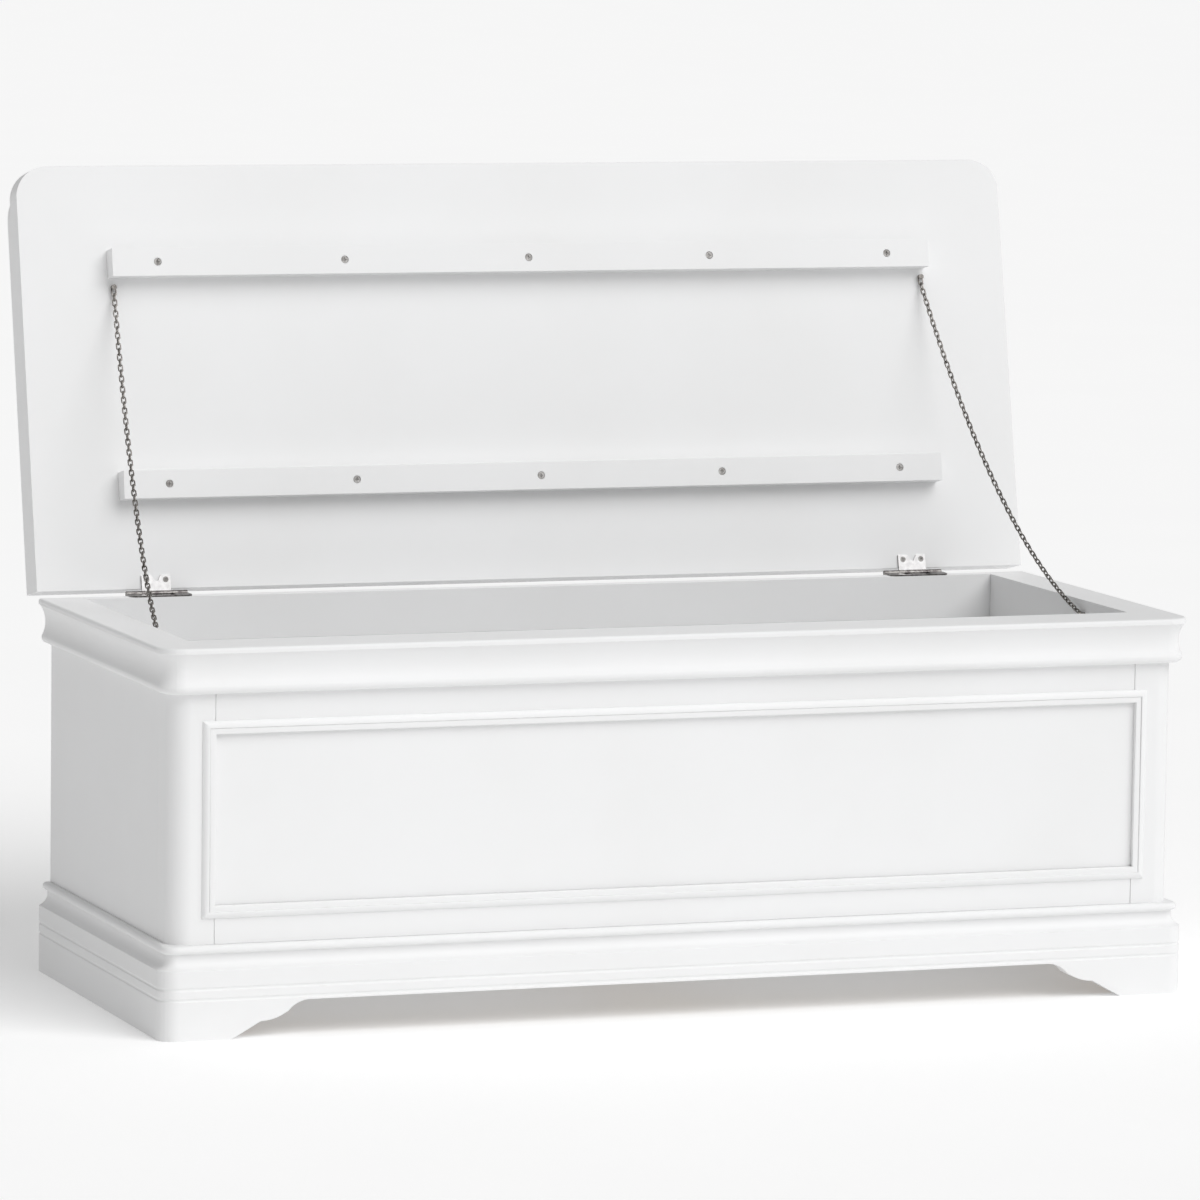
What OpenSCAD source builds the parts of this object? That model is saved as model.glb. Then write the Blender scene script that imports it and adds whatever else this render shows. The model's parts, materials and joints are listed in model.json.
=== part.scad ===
// Painted wooden toy box: a post-and-rail chest with a moulded top frame, a bracket-foot plinth
// and a lid on flush hinges held by two link chains. Drawn with the lid standing open.
// +X is the user's right, -Y the front, +Z up. The floor is z = 0.

/* [Box] */
// Overall width of the top frame and the lid
body_w = 1120; // [960:10:1280]
// Overall depth of the top frame and the lid
body_d = 450; // [420:5:520]
// Height of the box without its lid
body_h = 395; // [370:5:460]
// Thickness of the side and back boards
board_t = 18; // [15:1:20]
// Clearance of the panel in its grooves
groove_gap = 0.2; // [0.1:0.1:0.5]

/* [Top frame] */
// Height of the moulded top frame
cornice_h = 47; // [47:1:50]
// Overhang of the top frame past the box sides
cornice_out = 14; // [14:1:16]
// Radius of the top frame's front corners
cornice_r = 27; // [25:1:30]
// Width of the side rails seen from above
side_rail_w = 47; // [44:1:56]
// Width of the front rail seen from above
front_rail_w = 67; // [60:1:75]

/* [Plinth] */
// Height of the plinth
plinth_h = 95; // [95:1:105]
// How far the plinth stands out from the box sides
plinth_out = 12; // [12:1:14]
// Radius of the plinth's front corners
plinth_r = 19; // [18:1:19]
// Thickness of the plinth boards
plinth_t = 20; // [20:1:22]
// Height of the front apron's lower edge
apron_z = 37.5; // [36:0.5:38]
// Width of a front foot at the floor, from the plinth's side
foot_w = 73; // [68:1:80]

/* [Front] */
// Width and depth of a front corner post
post_w = 46; // [44:1:48]
// Radius of a post's outer edge
post_r = 22; // [18:1:24]
// Thickness of the front rails
rail_t = 20; // [18:1:22]
// Height of the lower front rail
low_rail_h = 39.5; // [36:0.5:45]
// Height of the upper front rail
top_rail_h = 41; // [38:0.5:45]
// Thickness of the front panel
panel_t = 9; // [8:0.5:10]
// How far the panel's face lies behind the frame's face
panel_set = 2; // [1.5:0.5:3]
// Depth of the grooves that hold the panel
groove_d = 6; // [5:0.5:8]
// Width of the applied moulding round the panel
bead_w = 13.5; // [13.5:0.5:15]

/* [Lid] */
// Thickness of the lid
lid_t = 40; // [36:1:42]
// Thickness of the lid's lower, larger layer
lid_low_t = 27; // [25:0.5:29]
// Radius of the lower layer's front corners
lid_low_r = 34; // [28:1:40]
// Radius of the upper layer's front corners
lid_top_r = 55; // [50:1:60]
// How far the upper layer is set in
lid_set = 0; // [0:0.5:2]
// Gap between the closed lid and the box
lid_gap = 2; // [2:0.5:3]
// Opening angle from closed
open_angle = 102; // [98:1:103]
// Length of a lid batten
batten_l = 930; // [860:10:950]
// Width of a lid batten
batten_w = 30; // [28:1:36]
// Thickness of a lid batten
batten_t = 20; // [18:1:22]
// Distance from the lid's back edge to the lower batten's centre line
batten_low = 109; // [100:1:120]
// Distance from the lid's back edge to the upper batten's centre line
batten_high = 344.5; // [335:0.5:350]
// Spacing of the batten screws
screw_pitch = 207.5; // [190:0.5:210]

/* [Hinges] */
// Distance of each hinge from the middle
hinge_x = 430; // [400:5:440]
// Length of a hinge barrel
hinge_l = 67; // [64:1:76]
// Length of the inner leaf
inner_l = 32; // [30:0.4:34]
// Radius of the barrel
barrel_r = 3; // [2.8:0.1:3]
// Radius of the hinge pin
pin_r = 1.5; // [1.2:0.1:1.6]
// Thickness of a leaf
leaf_t = 1.8; // [1.5:0.1:1.8]
// How far the pin's centre stands behind the box
pin_back = 5; // [5:0.5:6]

/* [Chains] */
// Distance of the chain's lid screw from the middle
chain_x = 460; // [440:5:470]
// Distance of the lid screw from the lid's back edge
chain_u = 320; // [310:1:328]
// Distance of the box screw in front of the box's middle
chain_front = 48; // [30:1:60]
// Depth of the box screw below the top
chain_drop = 15; // [12:1:20]
// How far the chain sags below a straight line
chain_sag = 49; // [30:1:60]
// Number of loose links, odd
link_count = 73; // [71:2:75]
// Wire diameter of a link
wire_d = 1.6; // [1.4:0.1:1.6]

/* [Hidden] */
$fn = 64;
e = 0.01;
half_w = body_w / 2;
half_d = body_d / 2;
case_x = half_w - cornice_out;          // outer face of the box side
case_y = -half_d + cornice_out;         // outer face of the box front
case_top = body_h - cornice_h;
foot_x = case_x + plinth_out;           // outer face of the plinth side
foot_y = case_y - plinth_out;           // outer face of the plinth front
stile_x = case_x - post_w;              // inner face of the posts
panel_low = plinth_h + low_rail_h;
panel_high = case_top - top_rail_h;
mouth_x = half_w - side_rail_w;         // half the width of the opening
back_in = half_d - board_t;             // inner face of the back
lid_z = body_h + lid_gap;               // underside of the closed lid
pin_y = half_d + pin_back;
pin_z = body_h + lid_gap / 2;
bottom_t = 12;                          // bottom panel
bearer = 20;
block = 40;
screw_r = 1.9;                          // batten screws
screw_head_r = 3.8;
batten_bite = 16;                       // batten screws' length in the lid
head_set = 0.6;                         // their heads' depth under the batten's face
small_r = 1.4;                          // hinge screws
small_head_r = 3.1;
box_screw_l = 14;
lid_screw_l = 12;
shank_r = 1.2;                          // chain screws
chain_head_r = 2.8;
chain_bite = 12;                        // chain screws' length in the wood
tip_room = 1.5;                         // pilot hole's length past a screw's tip
lug_x = 10.5;                           // inner leaf screws, from the hinge's middle
wing_x = 25.5;                          // outer leaf screws, from the hinge's middle
outer_reach = pin_back + board_t;       // outer leaf, from the pin
inner_reach = 19.5;                     // inner leaf, from the pin
lug_reach = 14.7;                       // inner leaf screws, from the pin
wing_reach = pin_back + board_t / 2;    // outer leaf screws, from the pin

// The whole object is centred on the origin as it stands, with the lid leaning back
lid_back = pin_y + (lid_t + lid_gap / 2) * sin(open_angle) - (body_d + pin_back) * cos(open_angle);
shift_y = (lid_back - half_d) / 2;

// A point of the closed lid, where it is with the lid open
function opened(p) = [
    p.x,
    pin_y + (p.y - pin_y) * cos(open_angle) + (p.z - pin_z) * sin(open_angle),
    pin_z - (p.y - pin_y) * sin(open_angle) + (p.z - pin_z) * cos(open_angle)
];

// Chain: from the fixed end link on the lid to the screw in the side rail, in one sagging line
link_gap = 0.2;
link_w = 2.2;                           // half the width of a link, to the wire's middle
end_half = 5.5;                         // half the length of the fixed end link
end_tilt = 12;                          // lean of the end link off the lid
end_rise = 2;                           // wire's height over the lid at the screw
end_reach = 2 * end_half - (wire_d / 2 + shank_r + 0.1) / cos(end_tilt);
end_bar = 0.8;                          // half the straight bar that the first link hangs on
rail_stand = 3.8;                       // chain's distance from the side rail's face
lid_pivot = opened([
    chain_x,
    half_d - chain_u + end_reach * cos(end_tilt),
    lid_z - end_rise - end_reach * sin(end_tilt)
]);
box_pivot = [mouth_x - rail_stand, -chain_front, body_h - chain_drop];
span = box_pivot - lid_pivot;
function slope(t) = span - [0, 0, 4 * chain_sag * (1 - 2 * t)];
function place(t) = lid_pivot + span * t - [0, 0, 4 * chain_sag * t * (1 - t)];
function run(t, steps) = t > 1 - 0.5 / steps ? 0
    : norm(slope(t + 0.5 / steps)) / steps + run(t + 1 / steps, steps);
chain_len = run(0, 100);
pitch = (chain_len + wire_d / 2 + shank_r + 0.1) / link_count;
link_half = (pitch + wire_d + link_gap) / 2;
function next(t, ds) = t + ds / norm(slope(t + 0.5 * ds / norm(slope(t))));
function walk(t, n) = n == 1 ? [t] : concat([t], walk(next(t, pitch), n - 1));
links = walk(next(0, link_half - wire_d - link_gap), link_count);  // each one's place along the line
upper_count = floor(link_count / 2);

// ---- helpers ----

module placed() {
    translate([0, -shift_y, 0]) children();
}

// Opens what is drawn on the closed lid
module on_open_lid() {
    placed() translate([0, pin_y, pin_z]) rotate([-open_angle, 0, 0])
        translate([0, -pin_y, -pin_z]) children();
}

module mirrored(side) {
    if (side > 0) children();
    else mirror([1, 0, 0]) children();
}

module box(low, high) {
    translate(low) cube(high - low);
}

// Rectangle whose two front corners are rounded
module front_rounded(hw, y0, y1, r) {
    difference() {
        translate([-hw, y0]) square([2 * hw, y1 - y0]);
        for (s = [-1, 1])
            translate([s * (hw - r), y0 + r]) difference() {
                translate([s > 0 ? 0 : -r - e, -r - e]) square(r + e);
                circle(r);
            }
    }
}

// Sweeps a rail's section along the left side, the front and the right side.
// The section has x = 0 on the rail's outer face and runs inwards along -x.
module swept_rails(hw, y0, y1, r) {
    translate([hw - r, y0, 0]) rotate([90, 0, -90]) linear_extrude(2 * (hw - r)) children();
    translate([hw, y1, 0]) rotate([90, 0, 0]) linear_extrude(y1 - y0 - r) children();
    translate([-hw, y0 + r, 0]) rotate([90, 0, 180]) linear_extrude(y1 - y0 - r) children();
    for (s = [-1, 1])
        translate([s * (hw - r), y0 + r, 0]) rotate([0, 0, s > 0 ? -90 : 180])
            rotate_extrude(angle = 90) intersection() {
                translate([r, 0]) children();
                square([r, body_h]);
            }
}

// Area of the front rail between its two mitres
module mitre_area(hw, y0, r, inner_x, inner_y) {
    toward = [hw - r - inner_x, y0 + r - inner_y];
    out = [inner_x, inner_y] + 150 * toward / norm(toward);
    front = min(y0, out.y) - 50;
    polygon([
        [-inner_x, inner_y], [inner_x, inner_y], out,
        [out.x, front], [-out.x, front], [-out.x, out.y]
    ]);
}

// ---- top frame ----

// Square edge on top, then a hollow that runs smoothly into a bead; x = 0 is the outer face
module cornice_section(w) {
    fillet = 6;
    step = 1;
    cove_r = 30;
    edge_r = 3;
    bead_r = 6;
    bead = [-9.3, bead_r];
    top = [-step, cornice_h - fillet];
    gap = norm(top - bead);
    toward = (top - bead) / gap;
    along = (gap * gap + pow(cove_r + bead_r, 2) - cove_r * cove_r) / (2 * gap);
    across = sqrt(pow(cove_r + bead_r, 2) - along * along);
    cove = bead + toward * along + [toward.y, -toward.x] * across;
    touch = bead + (cove - bead) * bead_r / (cove_r + bead_r);
    difference() {
        translate([-w, touch.y]) square([w, cornice_h - touch.y]);
        intersection() {
            translate(cove) circle(cove_r, $fn = 128);
            translate([-w, 0]) square([w + 1, cornice_h - fillet]);
        }
        translate([-edge_r, cornice_h - edge_r]) difference() {
            square(edge_r + 1);
            circle(edge_r);
        }
    }
    translate([-w, 0]) square([w + bead.x, touch.y]);
    intersection() {
        translate(bead) circle(bead_r);
        translate([bead.x, 0]) square([-bead.x, touch.y]);
    }
}

module cornice_mitre() {
    linear_extrude(body_h + 10)
        mitre_area(half_w, -half_d, cornice_r, mouth_x, -half_d + front_rail_w);
}

module cornice_rails(w) {
    translate([0, 0, case_top]) swept_rails(half_w, -half_d, half_d, cornice_r) cornice_section(w);
}

module cornice_front() {
    color("white") placed() intersection() {
        cornice_rails(front_rail_w);
        cornice_mitre();
    }
}

module cornice_side(side) {
    color("white") placed() mirrored(side) difference() {
        intersection() {
            cornice_rails(side_rail_w);
            box([0, -half_d - 1, 0], [half_w + 1, half_d + 1, body_h + 1]);
        }
        cornice_mitre();
        translate([mouth_x - 1, -chain_front, body_h - chain_drop]) rotate([0, 90, 0])
            cylinder(r = shank_r, h = 1 + chain_bite + tip_room);
    }
}

// ---- plinth ----

module plinth_section() {
    bead_r = 4.2;
    neck = 9;
    cove_r = 13;
    cove_z = plinth_h - 12;
    groove_r = 2.2;
    groove_d = 0.9;
    difference() {
        translate([-plinth_t, 0]) square([plinth_t, cove_z]);
        translate([cove_r - neck, cove_z]) circle(cove_r);
        for (z = [41.3, 52.2]) translate([groove_r - groove_d, z]) circle(groove_r);
    }
    translate([-plinth_t, cove_z]) square([plinth_t - neck, plinth_h - cove_z]);
    translate([-neck + 1, plinth_h - bead_r]) circle(bead_r);
}

module plinth_mitre() {
    linear_extrude(plinth_h + 10)
        mitre_area(foot_x, foot_y, plinth_r, foot_x - plinth_t, foot_y + plinth_t);
}

module plinth_rails() {
    swept_rails(foot_x, foot_y, half_d, plinth_r) plinth_section();
}

// One half of the opening between the front feet: a flat top, a round shoulder, a hollow
// and a straight run down to the toe
module apron_half() {
    toe_x = foot_x - foot_w;
    knee_x = toe_x - 31;
    knee_z = 17.4;
    hollow_r = 48.7;
    turn_x = knee_x - 28.4;
    shoulder_r = 30;
    shoulder_x = turn_x - 23.6;
    turn_z = apron_z - shoulder_r + sqrt(shoulder_r * shoulder_r - pow(turn_x - shoulder_x, 2));
    translate([0, -1]) square([shoulder_x, apron_z + 1]);
    intersection() {
        translate([shoulder_x, apron_z - shoulder_r]) circle(shoulder_r);
        translate([shoulder_x, -1]) square([turn_x - shoulder_x, apron_z + 2]);
    }
    difference() {
        translate([turn_x, -1]) square([knee_x - turn_x, turn_z + 1]);
        translate([knee_x, knee_z + hollow_r]) circle(hollow_r, $fn = 128);
    }
    polygon([[knee_x, -1], [knee_x, knee_z], [toe_x, 0], [toe_x, -1]]);
}

module apron_cut() {
    translate([0, foot_y + 2 * plinth_t, 0]) rotate([90, 0, 0]) linear_extrude(3 * plinth_t) {
        apron_half();
        mirror([1, 0]) apron_half();
    }
}

module plinth_front() {
    color("white") placed() difference() {
        intersection() {
            plinth_rails();
            plinth_mitre();
        }
        apron_cut();
    }
}

module plinth_side(side) {
    color("white") placed() mirrored(side) difference() {
        intersection() {
            plinth_rails();
            box([0, foot_y - 1, 0], [foot_x + 1, half_d + 1, plinth_h + 1]);
        }
        plinth_mitre();
    }
}

module plinth_back() {
    inner = foot_x - plinth_t;
    back_foot = 90;
    cut = inner - back_foot;
    color("white") placed() difference() {
        box([-inner, half_d - plinth_t, 0], [inner, half_d, plinth_h]);
        box([-cut, half_d - plinth_t - 1, -1], [cut, half_d + 1, apron_z]);
    }
}

module plinth_block(sx, sy) {
    x = foot_x - plinth_t;
    y = sy > 0 ? half_d - plinth_t - block : foot_y + plinth_t;
    color("burlywood") placed() mirrored(sx)
        box([x - block, y, 0], [x, y + block, plinth_h - bottom_t]);
}

module bottom_panel() {
    x = foot_x - plinth_t;
    color("white") placed()
        box([-x, foot_y + plinth_t, plinth_h - bottom_t], [x, half_d - plinth_t, plinth_h]);
}

module bearer_cross(y) {
    x = foot_x - plinth_t - block;
    color("burlywood") placed()
        box([-x, y, plinth_h - bottom_t - bearer], [x, y + bearer, plinth_h - bottom_t]);
}

module bearer_side(side) {
    x = foot_x - plinth_t;
    color("burlywood") placed() mirrored(side)
        box([x - bearer, foot_y + plinth_t + block, plinth_h - bottom_t - bearer],
            [x, half_d - plinth_t - block, plinth_h - bottom_t]);
}

module bearer_middle() {
    color("burlywood") placed()
        box([-bearer / 2, foot_y + plinth_t + bearer, plinth_h - bottom_t - bearer],
            [bearer / 2, half_d - plinth_t - bearer, plinth_h - bottom_t]);
}

// ---- box ----

// Space that the front panel's edges take in the posts and rails
module panel_groove() {
    box([-stile_x - groove_d, case_y + panel_set - groove_gap, panel_low - groove_d],
        [stile_x + groove_d, case_y + panel_set + panel_t + groove_gap, panel_high + groove_d]);
}

module post(side) {
    color("white") placed() mirrored(side) difference() {
        translate([0, 0, plinth_h]) linear_extrude(case_top - plinth_h) intersection() {
            front_rounded(case_x, case_y, case_y + post_w, post_r);
            translate([stile_x, case_y]) square(post_w);
        }
        panel_groove();
    }
}

module front_rail(z0, z1) {
    line_w = 0.5;                       // fine line that shows at the joint with the post
    line_d = 1.5;
    color("white") placed() difference() {
        box([-stile_x, case_y, z0], [stile_x, case_y + rail_t, z1]);
        panel_groove();
        for (s = [0, 1]) mirror([s, 0, 0])
            box([stile_x - line_w, case_y - 1, z0 - 1], [stile_x + 1, case_y + line_d, z1 + 1]);
    }
}

module front_panel() {
    tongue = groove_d - 0.5;
    color("white") placed()
        box([-stile_x - tongue, case_y + panel_set, panel_low - tongue],
            [stile_x + tongue, case_y + panel_set + panel_t, panel_high + tongue]);
}

// A rounded edge, then a low rounded band; x = 0 is the outer edge, y is the height off the frame
module bead_section() {
    round_r = 7;
    round_h = 4.5;
    round_w = sqrt(round_r * round_r - pow(round_r - round_h, 2));
    step_x = round_w + 0.9;
    band_r = 25;
    band_h = 3.9;
    intersection() {
        translate([round_w, round_h - round_r]) circle(round_r);
        square([round_w, round_h]);
    }
    translate([round_w, 0]) square([step_x - round_w, round_h]);
    intersection() {
        translate([(step_x + bead_w) / 2, band_h - band_r]) circle(band_r, $fn = 128);
        translate([step_x, 0]) square([bead_w - step_x, band_h + 1]);
    }
}

// One length of moulding along x, with its outer edge on z = 0 and mitred ends
module bead_length(length) {
    rotate([90, 0, 0]) intersection() {
        rotate([90, 0, 90]) translate([0, 0, -length / 2]) linear_extrude(length) bead_section();
        linear_extrude(bead_w) polygon([
            [-length / 2, 0], [length / 2, 0],
            [length / 2 - bead_w, bead_w], [-length / 2 + bead_w, bead_w]
        ]);
    }
}

module moulding(angle, length, reach) {
    color("white") placed() translate([0, case_y, (panel_low + panel_high) / 2])
        rotate([0, angle, 0]) translate([0, 0, -reach]) bead_length(length);
}

module side_panel(side) {
    color("white") placed() mirrored(side)
        box([case_x - board_t, case_y + post_w, plinth_h], [case_x, half_d, case_top]);
}

module back_panel() {
    x = case_x - board_t;
    color("white") placed() box([-x, back_in, plinth_h], [x, half_d, case_top]);
}

module back_rail() {
    color("white") placed() difference() {
        box([-mouth_x, back_in, case_top], [mouth_x, half_d, body_h]);
        for (s = [-1, 1], w = [-1, 1])
            translate([s * hinge_x + w * wing_x, pin_y - wing_reach, body_h - box_screw_l])
                cylinder(r = small_r, h = box_screw_l + 1);
    }
}

module rear_block(side) {
    x = case_x - board_t;
    color("white") placed() mirrored(side)
        box([x - bearer, back_in - bearer, plinth_h], [x, back_in, case_top]);
}

// ---- lid, drawn closed ----

module lid_panel() {
    color("white") on_open_lid() difference() {
        union() {
            translate([0, 0, lid_z]) linear_extrude(lid_low_t)
                front_rounded(half_w, -half_d, half_d, lid_low_r);
            translate([0, 0, lid_z + lid_low_t]) linear_extrude(lid_t - lid_low_t)
                front_rounded(half_w - lid_set, -half_d + lid_set, half_d, lid_top_r);
        }
        for (u = [batten_low, batten_high], i = [-2:2])
            translate([i * screw_pitch, half_d - u, lid_z - 1])
                cylinder(r = screw_r, h = 1 + batten_bite + tip_room);
        for (s = [-1, 1], w = [-1, 1])
            translate([s * hinge_x + w * lug_x, pin_y - lug_reach, lid_z - 1])
                cylinder(r = small_r, h = 1 + lid_screw_l);
        for (s = [-1, 1])
            translate([s * chain_x, half_d - chain_u, lid_z - 1])
                cylinder(r = shank_r, h = 1 + chain_bite + tip_room);
    }
}

module lid_batten(u) {
    head_depth = 3;
    room = 0.2;
    color("white") on_open_lid() difference() {
        box([-batten_l / 2, half_d - u - batten_w / 2, lid_z - batten_t],
            [batten_l / 2, half_d - u + batten_w / 2, lid_z]);
        for (i = [-2:2]) translate([i * screw_pitch, half_d - u, lid_z - batten_t - 1]) {
            cylinder(r = screw_r + room, h = batten_t + 2);
            cylinder(r = screw_head_r + 2 * room, h = head_depth + 1);
        }
    }
}

// Cross recess in a screw's head, cut from the head's face at z = 0
module cross_recess(length, width, depth) {
    for (a = [0, 90]) rotate([0, 0, a])
        translate([-length / 2, -width / 2, -1]) cube([length, width, depth + 1]);
}

module lid_batten_screws() {
    head_h = 2.4;
    color("silver") on_open_lid()
        for (u = [batten_low, batten_high], i = [-2:2])
            translate([i * screw_pitch, half_d - u, lid_z - batten_t + head_set]) difference() {
                union() {
                    cylinder(r = screw_head_r, h = head_h);
                    cylinder(r = screw_r, h = batten_t - head_set + batten_bite);
                }
                cross_recess(4.4, 0.8, 1.2);
            }
}

// ---- hinges, drawn closed round the pin's axis ----

module at_hinge(side) {
    translate([side * hinge_x, pin_y, pin_z]) children();
}

module knuckle(x0, x1, r) {
    translate([x0, 0, 0]) rotate([0, 90, 0]) cylinder(r = r, h = x1 - x0);
}

// Countersink for a screw that points along +Z from its head at z = 0
module sink() {
    translate([0, 0, -e]) cylinder(r1 = small_head_r + 0.1, r2 = small_r, h = leaf_t);
    translate([0, 0, -1]) cylinder(r = small_r, h = leaf_t + 2);
}

module hinge_box_leaf(side) {
    z0 = body_h - pin_z;
    gap = 0.3;
    slot = inner_l / 2 + gap;
    tall = 5;
    corner_r = 6;
    color("silver") placed() at_hinge(side) difference() {
        union() {
            translate([0, 0, z0]) linear_extrude(leaf_t)
                front_rounded(hinge_l / 2, -outer_reach, 0, corner_r);
            knuckle(-hinge_l / 2, -slot, barrel_r);
            knuckle(slot, hinge_l / 2, barrel_r);
        }
        box([-slot, -inner_reach - gap, z0 - tall], [slot, tall, z0 + tall]);
        knuckle(-hinge_l, hinge_l, pin_r);
        for (w = [-1, 1])
            translate([w * wing_x, -wing_reach, z0 + leaf_t]) mirror([0, 0, 1]) sink();
    }
}

module hinge_lid_leaf(side) {
    z1 = lid_z - pin_z;
    half = inner_l / 2;
    slip = 0.05;
    notch = [5.5, 2, 13];               // half widths at the edge and inside, and where it ends
    color("silver") on_open_lid() at_hinge(side) difference() {
        union() {
            box([-half, -inner_reach, z1 - leaf_t], [half, 0, z1]);
            knuckle(-half, half, barrel_r);
        }
        knuckle(-hinge_l, hinge_l, pin_r + slip);
        translate([0, 0, -barrel_r]) linear_extrude(2 * barrel_r) polygon([
            [-notch.x, -inner_reach - 1], [notch.x, -inner_reach - 1],
            [notch.y, -notch.z], [-notch.y, -notch.z]
        ]);
        for (w = [-1, 1]) translate([w * lug_x, -lug_reach, z1 - leaf_t]) sink();
    }
}

module hinge_pin(side) {
    color("silver") placed() at_hinge(side) knuckle(-hinge_l / 2, hinge_l / 2, pin_r);
}

// Countersunk screw pointing along +Z, with its head's face on z = 0
module flat_screw(length) {
    difference() {
        union() {
            cylinder(r1 = small_head_r, r2 = small_r, h = leaf_t);
            cylinder(r = small_r, h = length);
        }
        cross_recess(3.6, 0.6, 0.7);
    }
}

module hinge_box_screws() {
    color("silver") placed() for (s = [-1, 1], w = [-1, 1])
        at_hinge(s) translate([w * wing_x, -wing_reach, body_h - pin_z + leaf_t])
            mirror([0, 0, 1]) flat_screw(box_screw_l);
}

module hinge_lid_screws() {
    color("silver") on_open_lid() for (s = [-1, 1], w = [-1, 1])
        at_hinge(s) translate([w * lug_x, -lug_reach, lid_z - pin_z - leaf_t]) flat_screw(lid_screw_l);
}

// ---- chains ----

// A link lying along +Y in the XY plane
module link(half) {
    straight = half - link_w;
    for (s = [0, 180]) rotate([0, 0, s]) {
        translate([0, straight, 0]) rotate_extrude(angle = 180)
            translate([link_w, 0]) circle(wire_d / 2, $fn = 24);
        translate([link_w, -straight, 0]) rotate([-90, 0, 0])
            cylinder(d = wire_d, h = 2 * straight, $fn = 24);
    }
}

// The fixed link: a round end at -Y for the screw, a straight bar at y = 0 for the first loose link
module end_link() {
    bend = link_w - end_bar;
    low = link_w - 2 * end_half;
    translate([0, low, 0]) rotate([0, 0, 180]) rotate_extrude(angle = 180)
        translate([link_w, 0]) circle(wire_d / 2, $fn = 24);
    translate([-end_bar, 0, 0]) rotate([0, 90, 0]) cylinder(d = wire_d, h = 2 * end_bar, $fn = 24);
    for (s = [0, 1]) mirror([s, 0, 0]) {
        translate([end_bar, -bend, 0]) rotate_extrude(angle = 90)
            translate([bend, 0]) circle(wire_d / 2, $fn = 24);
        translate([link_w, low, 0]) rotate([-90, 0, 0]) cylinder(d = wire_d, h = -bend - low, $fn = 24);
    }
}

// Loose links number first to last, counted from the lid; odd ones stand on edge
module chain_part(side, first, last) {
    color("silver") placed() mirrored(side) for (i = [first:last]) {
        d = slope(links[i]);
        translate(place(links[i])) rotate([atan2(d.z, d.y), 0, 0])
            rotate([0, 0, -atan2(d.x, norm([d.y, d.z]))])
                rotate([0, i % 2 == 0 ? 90 : 0, 0]) link(link_half);
    }
}

module chain_end_link(side) {
    color("silver") placed() mirrored(side) translate(lid_pivot)
        rotate([-open_angle - end_tilt, 0, 0]) end_link();
}

// Flat-headed screw along +Z, its head's underside at -stand, with a shoulder on the wood if wanted
module chain_screw(stand, shoulder_r) {
    head_h = 1.8;
    translate([0, 0, -stand - head_h]) cylinder(r = chain_head_r, h = head_h);
    shoulder_h = rail_stand - wire_d / 2 - 0.5;
    translate([0, 0, -stand - 1]) cylinder(r = shank_r, h = 1 + stand + chain_bite);
    if (shoulder_r > 0) translate([0, 0, -shoulder_h]) cylinder(r = shoulder_r, h = shoulder_h);
}

module chain_lid_screws() {
    color("silver") on_open_lid() for (s = [-1, 1])
        translate([s * chain_x, half_d - chain_u, lid_z]) chain_screw(4.6, 0);
}

module chain_box_screws() {
    color("silver") placed() for (s = [-1, 1])
        translate([s * mouth_x, -chain_front, body_h - chain_drop]) rotate([0, s * 90, 0])
            chain_screw(rail_stand + wire_d / 2 + 0.5, 2.4);
}

post(-1);  // post_front_left
post(1);  // post_front_right
front_rail(panel_high, case_top);  // front_top_rail
front_rail(plinth_h, panel_low);  // front_bottom_rail
front_panel();
moulding(180, 2 * (stile_x + bead_w), (panel_high - panel_low) / 2 + bead_w);  // moulding_top
moulding(0, 2 * (stile_x + bead_w), (panel_high - panel_low) / 2 + bead_w);  // moulding_bottom
moulding(90, panel_high - panel_low + 2 * bead_w, stile_x + bead_w);  // moulding_left
moulding(-90, panel_high - panel_low + 2 * bead_w, stile_x + bead_w);  // moulding_right
side_panel(-1);  // side_panel_left
side_panel(1);  // side_panel_right
back_panel();
back_rail();
rear_block(-1);  // rear_block_left
rear_block(1);  // rear_block_right
cornice_front();
cornice_side(-1);  // cornice_left
cornice_side(1);  // cornice_right
plinth_front();
plinth_side(-1);  // plinth_left
plinth_side(1);  // plinth_right
plinth_back();
plinth_block(-1, -1);  // plinth_block_front_left
plinth_block(1, -1);  // plinth_block_front_right
plinth_block(-1, 1);  // plinth_block_back_left
plinth_block(1, 1);  // plinth_block_back_right
bottom_panel();
bearer_cross(foot_y + plinth_t);  // bearer_front
bearer_cross(half_d - plinth_t - bearer);  // bearer_back
bearer_side(-1);  // bearer_left
bearer_side(1);  // bearer_right
bearer_middle();
lid_panel();
lid_batten(batten_high);  // lid_batten_upper
lid_batten(batten_low);  // lid_batten_lower
lid_batten_screws();
hinge_box_leaf(-1);  // hinge_box_leaf_left
hinge_box_leaf(1);  // hinge_box_leaf_right
hinge_lid_leaf(-1);  // hinge_lid_leaf_left
hinge_lid_leaf(1);  // hinge_lid_leaf_right
hinge_pin(-1);  // hinge_pin_left
hinge_pin(1);  // hinge_pin_right
hinge_box_screws();
hinge_lid_screws();
chain_end_link(-1);  // chain_end_link_left
chain_end_link(1);  // chain_end_link_right
chain_part(-1, 0, upper_count - 1);  // chain_upper_left
chain_part(1, 0, upper_count - 1);  // chain_upper_right
chain_part(-1, upper_count, link_count - 1);  // chain_lower_left
chain_part(1, upper_count, link_count - 1);  // chain_lower_right
chain_lid_screws();
chain_box_screws();
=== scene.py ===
import json
from math import atan2, hypot, radians

import bpy
from mathutils import Euler, Matrix, Vector


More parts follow.
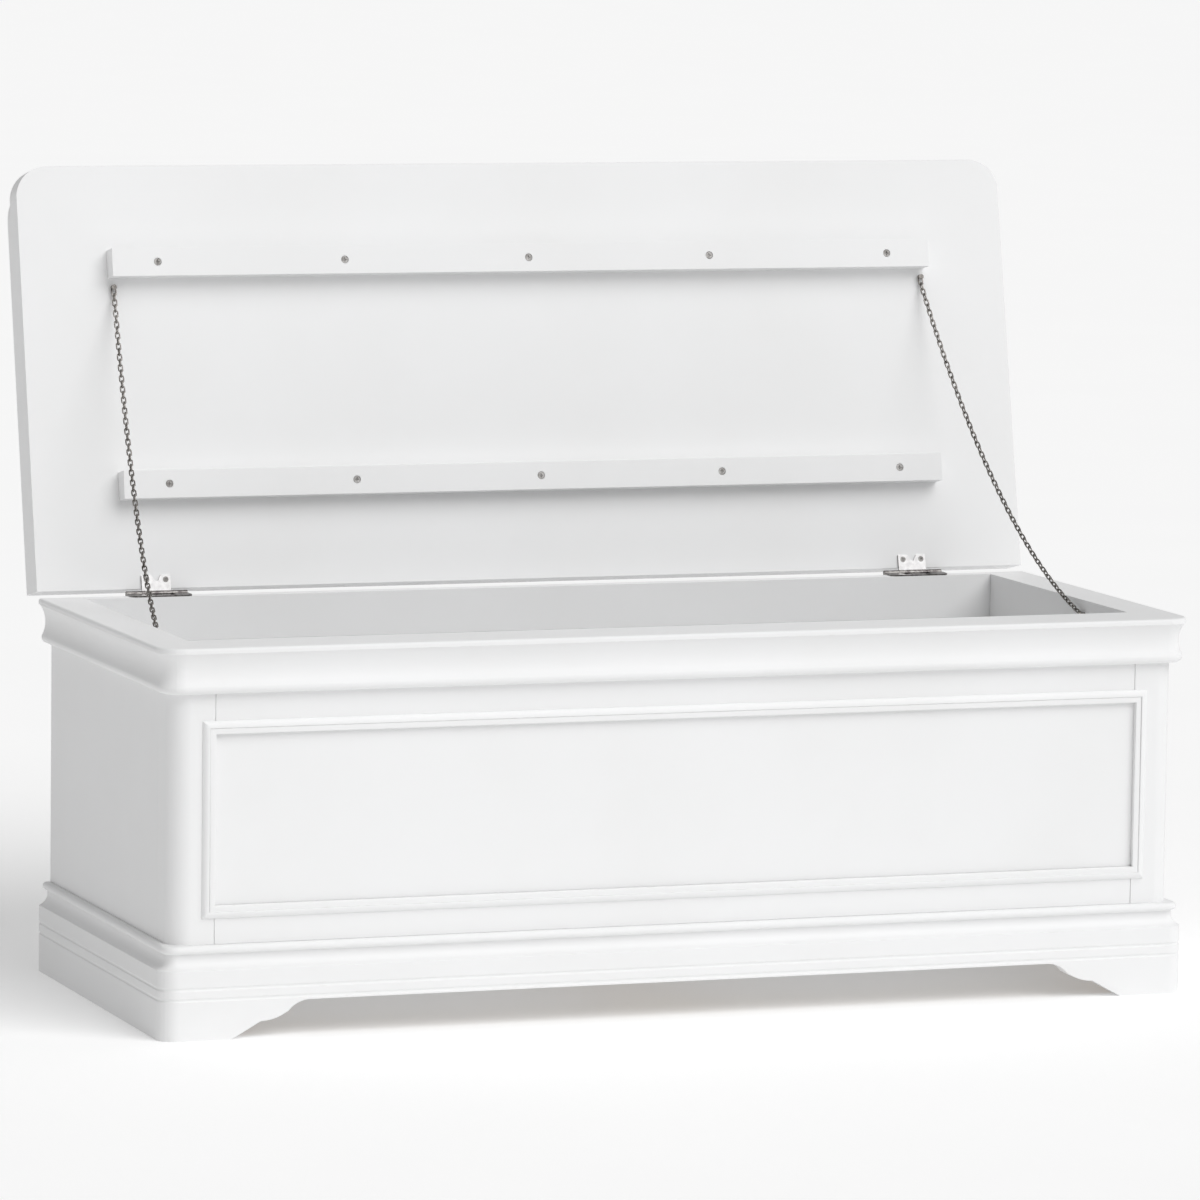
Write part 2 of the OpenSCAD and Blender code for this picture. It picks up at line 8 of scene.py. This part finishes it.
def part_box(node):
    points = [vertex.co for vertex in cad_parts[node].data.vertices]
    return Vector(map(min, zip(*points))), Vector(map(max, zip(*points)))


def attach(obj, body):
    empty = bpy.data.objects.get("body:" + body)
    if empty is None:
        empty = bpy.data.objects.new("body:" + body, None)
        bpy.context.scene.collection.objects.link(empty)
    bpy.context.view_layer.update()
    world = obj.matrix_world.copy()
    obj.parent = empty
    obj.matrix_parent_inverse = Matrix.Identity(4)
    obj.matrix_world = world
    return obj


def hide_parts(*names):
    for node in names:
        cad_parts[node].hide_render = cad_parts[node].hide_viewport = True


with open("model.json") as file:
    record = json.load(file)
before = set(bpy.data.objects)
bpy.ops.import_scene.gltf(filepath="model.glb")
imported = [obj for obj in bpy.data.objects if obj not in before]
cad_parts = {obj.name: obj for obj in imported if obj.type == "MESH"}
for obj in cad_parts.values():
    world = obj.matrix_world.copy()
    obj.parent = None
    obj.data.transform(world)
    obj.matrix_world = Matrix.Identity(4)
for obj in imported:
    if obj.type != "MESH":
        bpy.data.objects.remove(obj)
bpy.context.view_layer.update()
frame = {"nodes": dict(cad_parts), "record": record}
scene = bpy.context.scene
record = frame["record"]
pivots = {joint["name"]: Vector(joint["pos_m"]) for joint in record["behaviour"]["joints"]}
bodyOf = {node: body for body, nodes in record["behaviour"]["bodies"].items() for node in nodes}
slotOf = {part["node"]: part["material_slot"] for part in record["subparts"]}
middleY = (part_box("cornice_front")[0].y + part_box("back_rail")[1].y) / 2


# camera

shot = {
    "azimuth": -20.12,          # degrees, seen from the front and the left
    "elevation": 6.65,
    "roll": 0.79,
    "distance": 7.711,
    "lens": 221.9,              # mm
    "sensor": 36,
    "nearest": 0.1,             # the view's range, m
    "furthest": 300,
    "aim": (-0.0172, middleY, 0.4042),
}


def makeCamera():
    data = bpy.data.cameras.new("camera")
    data.lens = shot["lens"]
    data.sensor_width = shot["sensor"]
    data.clip_start = shot["nearest"]
    data.clip_end = shot["furthest"]
    camera = bpy.data.objects.new("camera", data)
    turn = Euler((radians(90 - shot["elevation"]), 0, radians(shot["azimuth"]))).to_matrix()
    back = turn @ Vector((0, 0, 1))
    turn = turn @ Matrix.Rotation(radians(shot["roll"]), 3, "Z")
    camera.matrix_world = Matrix.Translation(Vector(shot["aim"]) + back * shot["distance"]) @ turn.to_4x4()
    scene.collection.objects.link(camera)
    scene.camera = camera


makeCamera()
print("camera made")


# materials

def newMaterial(name):
    material = bpy.data.materials.new(name)
    material.use_nodes = True
    tree = material.node_tree
    tree.nodes.clear()
    output = tree.nodes.new("ShaderNodeOutputMaterial")
    shader = tree.nodes.new("ShaderNodeBsdfPrincipled")
    tree.links.new(shader.outputs["BSDF"], output.inputs["Surface"])
    return material, tree, shader


def pieceSpace(tree):
    return tree.nodes.new("ShaderNodeTexCoord").outputs["Object"]


grainTurns = {"x": (0, 0, 0), "y": (0, 0, radians(90)), "z": (0, radians(90), 0)}


# the pattern is turned to run along the board first, then drawn out along it
def grainSpace(tree, plain, along, stretch):
    turned = tree.nodes.new("ShaderNodeMapping")
    turned.inputs["Rotation"].default_value = grainTurns[along]
    drawn = tree.nodes.new("ShaderNodeMapping")
    drawn.inputs["Scale"].default_value = (stretch, 1, 1)
    tree.links.new(plain, turned.inputs["Vector"])
    tree.links.new(turned.outputs["Vector"], drawn.inputs["Vector"])
    return drawn.outputs["Vector"]


def noise(tree, space, scale, detail=3, rough=0.5):
    node = tree.nodes.new("ShaderNodeTexNoise")
    node.inputs["Scale"].default_value = scale
    node.inputs["Detail"].default_value = detail
    node.inputs["Roughness"].default_value = rough
    tree.links.new(space, node.inputs["Vector"])
    return node.outputs["Fac"]


def ramp(tree, value, stops):
    node = tree.nodes.new("ShaderNodeValToRGB")
    while len(node.color_ramp.elements) < len(stops):
        node.color_ramp.elements.new(0.5)
    for element, (place, colour) in zip(node.color_ramp.elements, stops):
        element.position = place
        element.color = (*colour, 1)
    tree.links.new(value, node.inputs["Fac"])
    return node.outputs["Color"]


def spread(tree, value, low, high):
    node = tree.nodes.new("ShaderNodeMapRange")
    node.inputs["To Min"].default_value = low
    node.inputs["To Max"].default_value = high
    tree.links.new(value, node.inputs["Value"])
    return node.outputs["Result"]


def bump(tree, value, depth, strength, before=None):
    node = tree.nodes.new("ShaderNodeBump")
    node.inputs["Distance"].default_value = depth
    node.inputs["Strength"].default_value = strength
    tree.links.new(value, node.inputs["Height"])
    if before:
        tree.links.new(before, node.inputs["Normal"])
    return node.outputs["Normal"]


paint = {
    "white": (0.865, 0.867, 0.870),
    "shade": (0.845, 0.846, 0.846),     # where the coat is a little thinner
    "rubbed": (0.80, 0.795, 0.78),      # on worn edges
    "gloss": (0.48, 0.60),              # roughness, low and high
    "edgeGloss": (0.42, 0.56),
    "sheen": 0.4,                       # specular level
    "grain": 0.00012,                   # depth of the wood grain under the coat, m
    "spray": 0.00003,                   # depth of the sprayed coat's texture, m
    "wear": 0.0001,                     # depth of the rubbed edges, m
    "stretch": 0.06,                    # the grain's width over its length
    "cloudScale": 5,
    "glossScale": 30,
    "poreScale": 260,
    "sprayScale": 700,
    "wearScale": 90,
}


def whitePaint(along):
    material, tree, shader = newMaterial(f"whitePaint_{along}")
    plain = pieceSpace(tree)
    grain = grainSpace(tree, plain, along, paint["stretch"])
    cloud = noise(tree, plain, paint["cloudScale"])
    colour = ramp(tree, cloud, [(0.3, paint["shade"]), (0.6, paint["white"])])
    tree.links.new(colour, shader.inputs["Base Color"])
    gloss = spread(tree, noise(tree, plain, paint["glossScale"]), *paint["gloss"])
    tree.links.new(gloss, shader.inputs["Roughness"])
    pores = noise(tree, grain, paint["poreScale"], 4, 0.6)
    spray = noise(tree, plain, paint["sprayScale"], 2)
    normal = bump(tree, pores, paint["grain"], 0.35)
    normal = bump(tree, spray, paint["spray"], 0.5, normal)
    tree.links.new(normal, shader.inputs["Normal"])
    shader.inputs["IOR"].default_value = 1.5
    shader.inputs["Specular IOR Level"].default_value = paint["sheen"]
    return material


def wornEdge():
    material, tree, shader = newMaterial("paintEdge")
    rub = noise(tree, pieceSpace(tree), paint["wearScale"], 4, 0.65)
    colour = ramp(tree, rub, [(0.5, paint["white"]), (0.75, paint["rubbed"])])
    tree.links.new(colour, shader.inputs["Base Color"])
    tree.links.new(spread(tree, rub, *paint["edgeGloss"]), shader.inputs["Roughness"])
    tree.links.new(bump(tree, rub, paint["wear"], 0.3), shader.inputs["Normal"])
    return material


rawWood = {
    "ringDark": (0.66, 0.47, 0.28),
    "ringLight": (0.78, 0.62, 0.42),
    "fibreDark": (0.86, 0.82, 0.78),
    "fibreLight": (1, 1, 1),
    "fibreShare": 0.8,                  # how strongly the fibres tint the rings
    "gloss": (0.65, 0.85),
    "stretch": 0.05,
    "ringScale": 28,
    "ringBend": 7,
    "fibreScale": 300,
    "sawScale": 350,
    "sawMarks": 0.0003,                 # depth, m
}


def sawnWood(along):
    material, tree, shader = newMaterial(f"sawnWood_{along}")
    plain = pieceSpace(tree)
    grain = grainSpace(tree, plain, along, rawWood["stretch"])
    wave = tree.nodes.new("ShaderNodeTexWave")
    wave.bands_direction = "Z"
    wave.inputs["Scale"].default_value = rawWood["ringScale"]
    wave.inputs["Distortion"].default_value = rawWood["ringBend"]
    wave.inputs["Detail"].default_value = 3
    tree.links.new(grain, wave.inputs["Vector"])
    rings = ramp(tree, wave.outputs["Fac"], [(0.1, rawWood["ringDark"]), (0.7, rawWood["ringLight"])])
    fibre = ramp(tree, noise(tree, grain, rawWood["fibreScale"], 4),
                 [(0.35, rawWood["fibreDark"]), (0.65, rawWood["fibreLight"])])
    mix = tree.nodes.new("ShaderNodeMix")
    mix.data_type = "RGBA"
    mix.blend_type = "MULTIPLY"
    mix.inputs["Factor"].default_value = rawWood["fibreShare"]
    tree.links.new(rings, mix.inputs[6])        # the colour sockets A and B
    tree.links.new(fibre, mix.inputs[7])
    tree.links.new(mix.outputs[2], shader.inputs["Base Color"])
    tree.links.new(spread(tree, noise(tree, plain, 4, 2), *rawWood["gloss"]), shader.inputs["Roughness"])
    saw = bump(tree, noise(tree, grain, rawWood["sawScale"], 5), rawWood["sawMarks"], 0.5)
    tree.links.new(saw, shader.inputs["Normal"])
    return material


plating = {
    "stretch": 0.08,                    # brush marks, their width over their length
    "stainScale": 220,
    "brushScale": 900,
    "scratchScale": 1600,
    "scratch": 0.00002,                 # depth, m
}


def plated(name, colour, stain, gloss):
    material, tree, shader = newMaterial(name)
    plain = pieceSpace(tree)
    brushed = grainSpace(tree, plain, "x", plating["stretch"])
    tone = ramp(tree, noise(tree, plain, plating["stainScale"]), [(0.35, stain), (0.62, colour)])
    tree.links.new(tone, shader.inputs["Base Color"])
    brush = noise(tree, brushed, plating["brushScale"])
    tree.links.new(spread(tree, brush, *gloss), shader.inputs["Roughness"])
    scratches = noise(tree, brushed, plating["scratchScale"], 2)
    tree.links.new(bump(tree, scratches, plating["scratch"], 0.4), shader.inputs["Normal"])
    shader.inputs["Metallic"].default_value = 1
    return material


paints = {along: whitePaint(along) for along in "xyz"}
woods = {along: sawnWood(along) for along in "xyz"}
edgePaint = wornEdge()
hingeZinc = plated("hingeZinc", (0.86, 0.85, 0.85), (0.72, 0.71, 0.71), (0.34, 0.48))
# a dark copy of the hinge's zinc for the barrel, pin and box leaf: painted shade on one plating
zincPaintedShade = plated("zincPaintedShade", (0.26, 0.25, 0.24), (0.10, 0.09, 0.09), (0.22, 0.36))
chainNickel = plated("chainNickel", (0.36, 0.34, 0.32), (0.16, 0.15, 0.14), (0.16, 0.30))
screwZinc = plated("screwZinc", (0.42, 0.41, 0.40), (0.24, 0.23, 0.22), (0.26, 0.42))
print("materials made")


# boards and fittings, from the frame's own shapes

def makeActive(piece):
    if bpy.context.mode != "OBJECT":
        bpy.ops.object.mode_set(mode="OBJECT")
    bpy.ops.object.select_all(action="DESELECT")
    piece.select_set(True)
    bpy.context.view_layer.objects.active = piece


edges = {
    "merge": 0.000002,          # corners closer than this are one, m
    "flat": 0.3,                # degrees; faces closer to flat than this become one
    "square": 40,               # an edge turning more than this is rounded
    "smooth": 50,               # and one turning less than this is shaded smooth
}


def cleanCopy(node, name):
    piece = bpy.data.objects.new(name, frame["nodes"][node].data.copy())
    piece.data.materials.clear()
    scene.collection.objects.link(piece)
    makeActive(piece)
    bpy.ops.object.mode_set(mode="EDIT")
    bpy.ops.mesh.select_all(action="SELECT")
    bpy.ops.mesh.remove_doubles(threshold=edges["merge"])
    bpy.ops.mesh.dissolve_limited(angle_limit=radians(edges["flat"]))
    bpy.ops.object.mode_set(mode="OBJECT")
    return piece


# only square edges over the shortest length are rounded, so a mitred rail keeps its mitres closed
def markEdges(piece, shortest):
    mesh = piece.data
    weights = mesh.attributes.new("bevel_weight_edge", "FLOAT", "EDGE")
    normals = {}
    for polygon in mesh.polygons:
        for key in polygon.edge_keys:
            normals.setdefault(key, []).append(polygon.normal)
    for edge in mesh.edges:
        sides = normals.get(tuple(sorted(edge.vertices)), [])
        start, end = [mesh.vertices[i].co for i in edge.vertices]
        if len(sides) != 2 or (end - start).length <= shortest:
            continue
        if sides[0].angle(sides[1]) > radians(edges["square"]):
            weights.data[edge.index].value = 1


def roundEdges(piece, width, shortest):
    markEdges(piece, shortest)
    makeActive(piece)
    bpy.ops.object.modifier_add(type="BEVEL")
    bevel = piece.modifiers[-1]
    bevel.width = width
    bevel.segments = 2
    bevel.limit_method = "WEIGHT"
    bevel.use_clamp_overlap = False
    bevel.material = 1          # the rounded edge takes the piece's second material
    bpy.ops.object.modifier_apply(modifier=bevel.name)
    bpy.ops.mesh.customdata_custom_splitnormals_clear()
    bpy.ops.object.shade_smooth_by_angle(angle=radians(edges["smooth"]))
    bpy.ops.object.modifier_add(type="WEIGHTED_NORMAL")
    piece.modifiers[-1].keep_sharp = True
    bpy.ops.object.modifier_apply(modifier=piece.modifiers[-1].name)


def finishPiece(piece, node):
    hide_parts(node)
    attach(piece, bodyOf[node])


boards = {
    "paintedRound": 0.0006,     # radius of the edges
    "sawnRound": 0.0004,
    "shortest": 0.006,          # edges under this length stay sharp
    "shortestMitred": 0.1,      # the same on a mitred rail
    "mitred": ("cornice", "plinth_front", "plinth_left", "plinth_right", "moulding"),
    "painted": {                # by the way the grain runs
        "x": ["front_top_rail", "front_bottom_rail", "front_panel", "moulding_top", "moulding_bottom",
              "back_panel", "back_rail", "cornice_front", "plinth_front", "plinth_back", "bottom_panel",
              "lid_panel", "lid_batten_upper", "lid_batten_lower"],
        "y": ["cornice_left", "cornice_right", "plinth_left", "plinth_right"],
        "z": ["post_front_left", "post_front_right", "moulding_left", "moulding_right",
              "side_panel_left", "side_panel_right", "rear_block_left", "rear_block_right"],
    },
    "sawn": {
        "x": ["bearer_front", "bearer_back"],
        "y": ["bearer_left", "bearer_right", "bearer_middle"],
        "z": ["plinth_block_front_left", "plinth_block_front_right",
              "plinth_block_back_left", "plinth_block_back_right"],
    },
}


def makeBoard(node, name, face, edge, width):
    board = cleanCopy(node, name)
    board.data.materials.append(face)
    board.data.materials.append(edge)
    mitred = node.startswith(boards["mitred"])
    roundEdges(board, width, boards["shortestMitred" if mitred else "shortest"])
    finishPiece(board, node)


def makeBoards():
    for along, nodes in boards["painted"].items():
        for node in nodes:
            makeBoard(node, f"painted_{node}", paints[along], edgePaint, boards["paintedRound"])
    for along, nodes in boards["sawn"].items():
        for node in nodes:
            makeBoard(node, f"sawn_{node}", woods[along], woods[along], boards["sawnRound"])


makeBoards()
print("boards made")


fittings = {
    "round": 0.00015,
    "shortest": 0.0012,
    "barrel": 0.0032,           # faces this close to the pin's axis are the barrel's
    "metals": {                 # by the start of the node's name: the piece, then its barrel; the dark zinc on the barrel, pin and box leaf is painted shade
        "hinge_box_leaf": (zincPaintedShade, zincPaintedShade),
        "hinge_lid_leaf": (hingeZinc, zincPaintedShade),
        "hinge_pin": (zincPaintedShade, zincPaintedShade),
        "hinge_box_screws": (screwZinc, screwZinc),
        "hinge_lid_screws": (screwZinc, screwZinc),
        "lid_batten_screws": (screwZinc, screwZinc),
        "chain_lid_screws": (chainNickel, chainNickel),
        "chain_box_screws": (chainNickel, chainNickel),
        "chain_end_link": (chainNickel, chainNickel),
    },
}


# the faces round the pin take the dark zinc: painted shade on the hinge's barrel
def paintBarrelShade(piece):
    axis = pivots["lid_hinge"]
    for polygon in piece.data.polygons:
        middle = polygon.center
        onBarrel = hypot(middle.y - axis.y, middle.z - axis.z) < fittings["barrel"]
        polygon.material_index = 1 if onBarrel else 0


def makeFittings():
    for start, metals in fittings["metals"].items():
        for node in (name for name in slotOf if name.startswith(start)):
            piece = cleanCopy(node, f"metal_{node}")
            for metal in metals:
                piece.data.materials.append(metal)
            roundEdges(piece, fittings["round"], fittings["shortest"])
            paintBarrelShade(piece)
            finishPiece(piece, node)


makeFittings()
print("hinges and screws made")


# each chain's link is modelled once, then copied along a sagging line from the lid's end link to the screw

chain = {
    "wire": 0.0016,
    "halfWidth": 0.0022,        # to the middle of the wire
    "links": 73,
    "sag": 0.049,
    "play": 0.0002,             # between one link and the next
    "shank": 0.0012,            # radius of the rail's screw
    "shankPlay": 0.0001,
    "ringSteps": 20,
    "wireSteps": 8,
    "middle": 0.00001,          # corners this close to the link's middle stay there
}


def selectEnd(link, end):
    bpy.ops.object.mode_set(mode="EDIT")
    bpy.ops.mesh.select_all(action="DESELECT")
    bpy.ops.object.mode_set(mode="OBJECT")
    for vertex in link.data.vertices:
        vertex.select = vertex.co.y * end > chain["middle"]
    bpy.ops.object.mode_set(mode="EDIT")


# a ring is pulled out to a link with two straight sides
def makeLink(halfLength):
    bpy.ops.object.select_all(action="DESELECT")
    bpy.ops.mesh.primitive_torus_add(
        major_radius=chain["halfWidth"], minor_radius=chain["wire"] / 2,
        major_segments=chain["ringSteps"], minor_segments=chain["wireSteps"])
    link = bpy.context.object
    straight = halfLength - chain["halfWidth"]
    for end in (-1, 1):
        selectEnd(link, end)
        bpy.ops.transform.translate(value=(0, straight * end, 0))
    bpy.ops.object.mode_set(mode="OBJECT")
    return link


def chainLine(side):
    start, end = pivots[f"chain_eye_{side}"], pivots[f"chain_foot_{side}"]
    span = end - start

    def slope(t):
        return span - Vector((0, 0, 4 * chain["sag"] * (1 - 2 * t)))

    def place(t):
        return start + span * t - Vector((0, 0, 4 * chain["sag"] * t * (1 - t)))

    return place, slope


def linkPlaces(side):
    place, slope = chainLine(side)
    steps = 100
    length = sum(slope((i + 0.5) / steps).length for i in range(steps)) / steps
    pitch = (length + chain["wire"] / 2 + chain["shank"] + chain["shankPlay"]) / chain["links"]
    halfLength = (pitch + chain["wire"] + chain["play"]) / 2

    def onwards(t, distance):
        return t + distance / slope(t + 0.5 * distance / slope(t).length).length

    t = onwards(0, halfLength - chain["wire"] - chain["play"])
    places = []
    for i in range(chain["links"]):
        along = slope(t)
        tilt = Matrix.Rotation(atan2(along.z, along.y), 4, "X")
        swing = Matrix.Rotation(-atan2(along.x, hypot(along.y, along.z)), 4, "Z")
        onEdge = Matrix.Rotation(radians(90 if i % 2 == 0 else 0), 4, "Y")
        places.append(Matrix.Translation(place(t)) @ tilt @ swing @ onEdge)
        t = onwards(t, pitch)
    return places, halfLength


def joined(copies, name):
    makeActive(copies[0])
    for piece in copies:
        piece.select_set(True)
    bpy.ops.object.join()
    copies[0].name = name
    makeActive(copies[0])
    bpy.ops.object.transform_apply(location=True, rotation=True, scale=True)
    bpy.ops.object.shade_smooth()
    return copies[0]


def makeChains():
    for side in ("left", "right"):
        places, halfLength = linkPlaces(side)
        upperCount = chain["links"] // 2
        link = makeLink(halfLength)
        for half, part in (("upper", places[:upperCount]), ("lower", places[upperCount:])):
            copies = []
            for matrix in part:
                copy = link.copy()
                copy.data = link.data.copy()
                copy.matrix_world = matrix
                scene.collection.objects.link(copy)
                copies.append(copy)
            piece = joined(copies, f"links_{half}_{side}")
            piece.data.materials.append(chainNickel)
            finishPiece(piece, f"chain_{half}_{side}")
        bpy.data.objects.remove(link)


makeChains()
print("chains made")


# floor and light

stage = {
    "floor": (0.90, 0.90, 0.90),
    "floorPatch": (0.891, 0.891, 0.891),
    "floorGlow": 0.2,
    "size": 160,                # m, past the far edge of the view
    "even": 0.37,               # strength of the studio light from all round
    "overhead": 0.05,           # added straight overhead
    "sun": 1.80,
    "sunSpread": 50,            # degrees
    "sunFrom": (0.7, -1.16, 1.36),
}


def makeFloor():
    bpy.ops.object.select_all(action="DESELECT")
    bpy.ops.mesh.primitive_plane_add(size=stage["size"], location=(0, 0, 0))
    floor = bpy.context.object
    floor.name = "floor"
    material, tree, shader = newMaterial("paleFloor")
    colour = ramp(tree, noise(tree, pieceSpace(tree), 3), [(0.3, stage["floor"]), (0.7, stage["floorPatch"])])
    tree.links.new(colour, shader.inputs["Base Color"])
    shader.inputs["Roughness"].default_value = 1
    shader.inputs["Specular IOR Level"].default_value = 0
    shader.inputs["Emission Color"].default_value = (1, 1, 1, 1)
    shader.inputs["Emission Strength"].default_value = stage["floorGlow"]
    floor.data.materials.append(material)


def makeWorld():
    world = bpy.data.worlds.new("studio")
    scene.world = world
    world.use_nodes = True
    tree = world.node_tree
    background = tree.nodes["Background"]
    coordinates = tree.nodes.new("ShaderNodeTexCoord")
    axes = tree.nodes.new("ShaderNodeSeparateXYZ")
    tree.links.new(coordinates.outputs["Generated"], axes.inputs["Vector"])
    glow = spread(tree, axes.outputs["Z"], stage["even"], stage["even"] + stage["overhead"])
    tree.links.new(glow, background.inputs["Strength"])
    background.inputs["Color"].default_value = (1, 1, 1, 1)


def makeSun():
    data = bpy.data.lights.new("softbox", "SUN")
    data.energy = stage["sun"]
    data.angle = radians(stage["sunSpread"])
    sun = bpy.data.objects.new("softbox", data)
    sun.rotation_euler = Vector(stage["sunFrom"]).to_track_quat("Z", "Y").to_euler()
    scene.collection.objects.link(sun)


makeFloor()
makeWorld()
makeSun()
scene.view_settings.view_transform = "Standard"
print("floor and light made")
